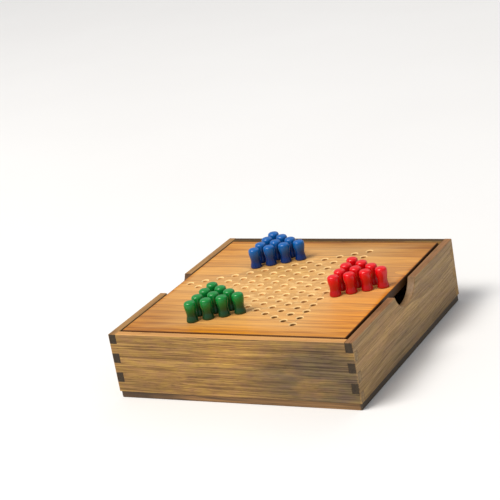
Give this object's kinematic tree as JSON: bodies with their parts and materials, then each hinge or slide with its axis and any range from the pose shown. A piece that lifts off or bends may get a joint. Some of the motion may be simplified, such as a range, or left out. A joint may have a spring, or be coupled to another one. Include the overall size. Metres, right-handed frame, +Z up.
{
  "type": "chinese checkers board",
  "caption": "Square finger-jointed wooden box with round grip notches and a lift-out board with a six-pointed star of countersunk holes that holds turned coloured pegs.",
  "frame": {"origin": "centre of the box's underside, on the surface it stands on", "axes": "+Z up, +X to the right wall, -Y to the front wall, whose face carries no notch"},
  "size_m": [0.23, 0.23, 0.0782],
  "materials": {
    "front_and_back_wall_wood": "satin clear coat over brown streaky board, grain along the wall",
    "side_wall_wood": "satin clear coat over grey-brown board, grain along the wall",
    "board_wood": "satin clear coat over honey-coloured board",
    "bottom_panel_wood": "plain matt panel",
    "corner_block_wood": "plain matt wood",
    "peg_red": "gloss",
    "peg_blue": "gloss",
    "peg_green": "gloss"
  },
  "bodies": {
    "box": {"front_wall": "front_and_back_wall_wood", "right_wall": "side_wall_wood", "back_wall": "front_and_back_wall_wood", "left_wall": "side_wall_wood", "bottom_panel": "bottom_panel_wood", "corner_block_front_left": "corner_block_wood", "corner_block_front_right": "corner_block_wood", "corner_block_back_right": "corner_block_wood", "corner_block_back_left": "corner_block_wood"},
    "board": {"board": "board_wood"},
    "peg_red_01": {"peg_red_01": "peg_red"},
    "peg_red_02": {"peg_red_02": "peg_red"},
    "peg_red_03": {"peg_red_03": "peg_red"},
    "peg_red_04": {"peg_red_04": "peg_red"},
    "peg_red_05": {"peg_red_05": "peg_red"},
    "peg_red_06": {"peg_red_06": "peg_red"},
    "peg_red_07": {"peg_red_07": "peg_red"},
    "peg_red_08": {"peg_red_08": "peg_red"},
    "peg_red_09": {"peg_red_09": "peg_red"},
    "peg_red_10": {"peg_red_10": "peg_red"},
    "peg_blue_01": {"peg_blue_01": "peg_blue"},
    "peg_blue_02": {"peg_blue_02": "peg_blue"},
    "peg_blue_03": {"peg_blue_03": "peg_blue"},
    "peg_blue_04": {"peg_blue_04": "peg_blue"},
    "peg_blue_05": {"peg_blue_05": "peg_blue"},
    "peg_blue_06": {"peg_blue_06": "peg_blue"},
    "peg_blue_07": {"peg_blue_07": "peg_blue"},
    "peg_blue_08": {"peg_blue_08": "peg_blue"},
    "peg_blue_09": {"peg_blue_09": "peg_blue"},
    "peg_blue_10": {"peg_blue_10": "peg_blue"},
    "peg_green_01": {"peg_green_01": "peg_green"},
    "peg_green_02": {"peg_green_02": "peg_green"},
    "peg_green_03": {"peg_green_03": "peg_green"},
    "peg_green_04": {"peg_green_04": "peg_green"},
    "peg_green_05": {"peg_green_05": "peg_green"},
    "peg_green_06": {"peg_green_06": "peg_green"},
    "peg_green_07": {"peg_green_07": "peg_green"},
    "peg_green_08": {"peg_green_08": "peg_green"},
    "peg_green_09": {"peg_green_09": "peg_green"},
    "peg_green_10": {"peg_green_10": "peg_green"}
  },
  "joints": [
    {"name": "board_lift", "type": "slide", "parent": "box", "child": "board", "axis": [0, 0, 1], "range_m": [0, 0.08]},
    {"name": "peg_red_01_lift", "type": "slide", "parent": "board", "child": "peg_red_01", "axis": [0, 0, 1], "range_m": [0, 0.025]},
    {"name": "peg_red_02_lift", "type": "slide", "parent": "board", "child": "peg_red_02", "axis": [0, 0, 1], "range_m": [0, 0.025]},
    {"name": "peg_red_03_lift", "type": "slide", "parent": "board", "child": "peg_red_03", "axis": [0, 0, 1], "range_m": [0, 0.025]},
    {"name": "peg_red_04_lift", "type": "slide", "parent": "board", "child": "peg_red_04", "axis": [0, 0, 1], "range_m": [0, 0.025]},
    {"name": "peg_red_05_lift", "type": "slide", "parent": "board", "child": "peg_red_05", "axis": [0, 0, 1], "range_m": [0, 0.025]},
    {"name": "peg_red_06_lift", "type": "slide", "parent": "board", "child": "peg_red_06", "axis": [0, 0, 1], "range_m": [0, 0.025]},
    {"name": "peg_red_07_lift", "type": "slide", "parent": "board", "child": "peg_red_07", "axis": [0, 0, 1], "range_m": [0, 0.025]},
    {"name": "peg_red_08_lift", "type": "slide", "parent": "board", "child": "peg_red_08", "axis": [0, 0, 1], "range_m": [0, 0.025]},
    {"name": "peg_red_09_lift", "type": "slide", "parent": "board", "child": "peg_red_09", "axis": [0, 0, 1], "range_m": [0, 0.025]},
    {"name": "peg_red_10_lift", "type": "slide", "parent": "board", "child": "peg_red_10", "axis": [0, 0, 1], "range_m": [0, 0.025]},
    {"name": "peg_blue_01_lift", "type": "slide", "parent": "board", "child": "peg_blue_01", "axis": [0, 0, 1], "range_m": [0, 0.025]},
    {"name": "peg_blue_02_lift", "type": "slide", "parent": "board", "child": "peg_blue_02", "axis": [0, 0, 1], "range_m": [0, 0.025]},
    {"name": "peg_blue_03_lift", "type": "slide", "parent": "board", "child": "peg_blue_03", "axis": [0, 0, 1], "range_m": [0, 0.025]},
    {"name": "peg_blue_04_lift", "type": "slide", "parent": "board", "child": "peg_blue_04", "axis": [0, 0, 1], "range_m": [0, 0.025]},
    {"name": "peg_blue_05_lift", "type": "slide", "parent": "board", "child": "peg_blue_05", "axis": [0, 0, 1], "range_m": [0, 0.025]},
    {"name": "peg_blue_06_lift", "type": "slide", "parent": "board", "child": "peg_blue_06", "axis": [0, 0, 1], "range_m": [0, 0.025]},
    {"name": "peg_blue_07_lift", "type": "slide", "parent": "board", "child": "peg_blue_07", "axis": [0, 0, 1], "range_m": [0, 0.025]},
    {"name": "peg_blue_08_lift", "type": "slide", "parent": "board", "child": "peg_blue_08", "axis": [0, 0, 1], "range_m": [0, 0.025]},
    {"name": "peg_blue_09_lift", "type": "slide", "parent": "board", "child": "peg_blue_09", "axis": [0, 0, 1], "range_m": [0, 0.025]},
    {"name": "peg_blue_10_lift", "type": "slide", "parent": "board", "child": "peg_blue_10", "axis": [0, 0, 1], "range_m": [0, 0.025]},
    {"name": "peg_green_01_lift", "type": "slide", "parent": "board", "child": "peg_green_01", "axis": [0, 0, 1], "range_m": [0, 0.025]},
    {"name": "peg_green_02_lift", "type": "slide", "parent": "board", "child": "peg_green_02", "axis": [0, 0, 1], "range_m": [0, 0.025]},
    {"name": "peg_green_03_lift", "type": "slide", "parent": "board", "child": "peg_green_03", "axis": [0, 0, 1], "range_m": [0, 0.025]},
    {"name": "peg_green_04_lift", "type": "slide", "parent": "board", "child": "peg_green_04", "axis": [0, 0, 1], "range_m": [0, 0.025]},
    {"name": "peg_green_05_lift", "type": "slide", "parent": "board", "child": "peg_green_05", "axis": [0, 0, 1], "range_m": [0, 0.025]},
    {"name": "peg_green_06_lift", "type": "slide", "parent": "board", "child": "peg_green_06", "axis": [0, 0, 1], "range_m": [0, 0.025]},
    {"name": "peg_green_07_lift", "type": "slide", "parent": "board", "child": "peg_green_07", "axis": [0, 0, 1], "range_m": [0, 0.025]},
    {"name": "peg_green_08_lift", "type": "slide", "parent": "board", "child": "peg_green_08", "axis": [0, 0, 1], "range_m": [0, 0.025]},
    {"name": "peg_green_09_lift", "type": "slide", "parent": "board", "child": "peg_green_09", "axis": [0, 0, 1], "range_m": [0, 0.025]},
    {"name": "peg_green_10_lift", "type": "slide", "parent": "board", "child": "peg_green_10", "axis": [0, 0, 1], "range_m": [0, 0.025]}
  ]
}
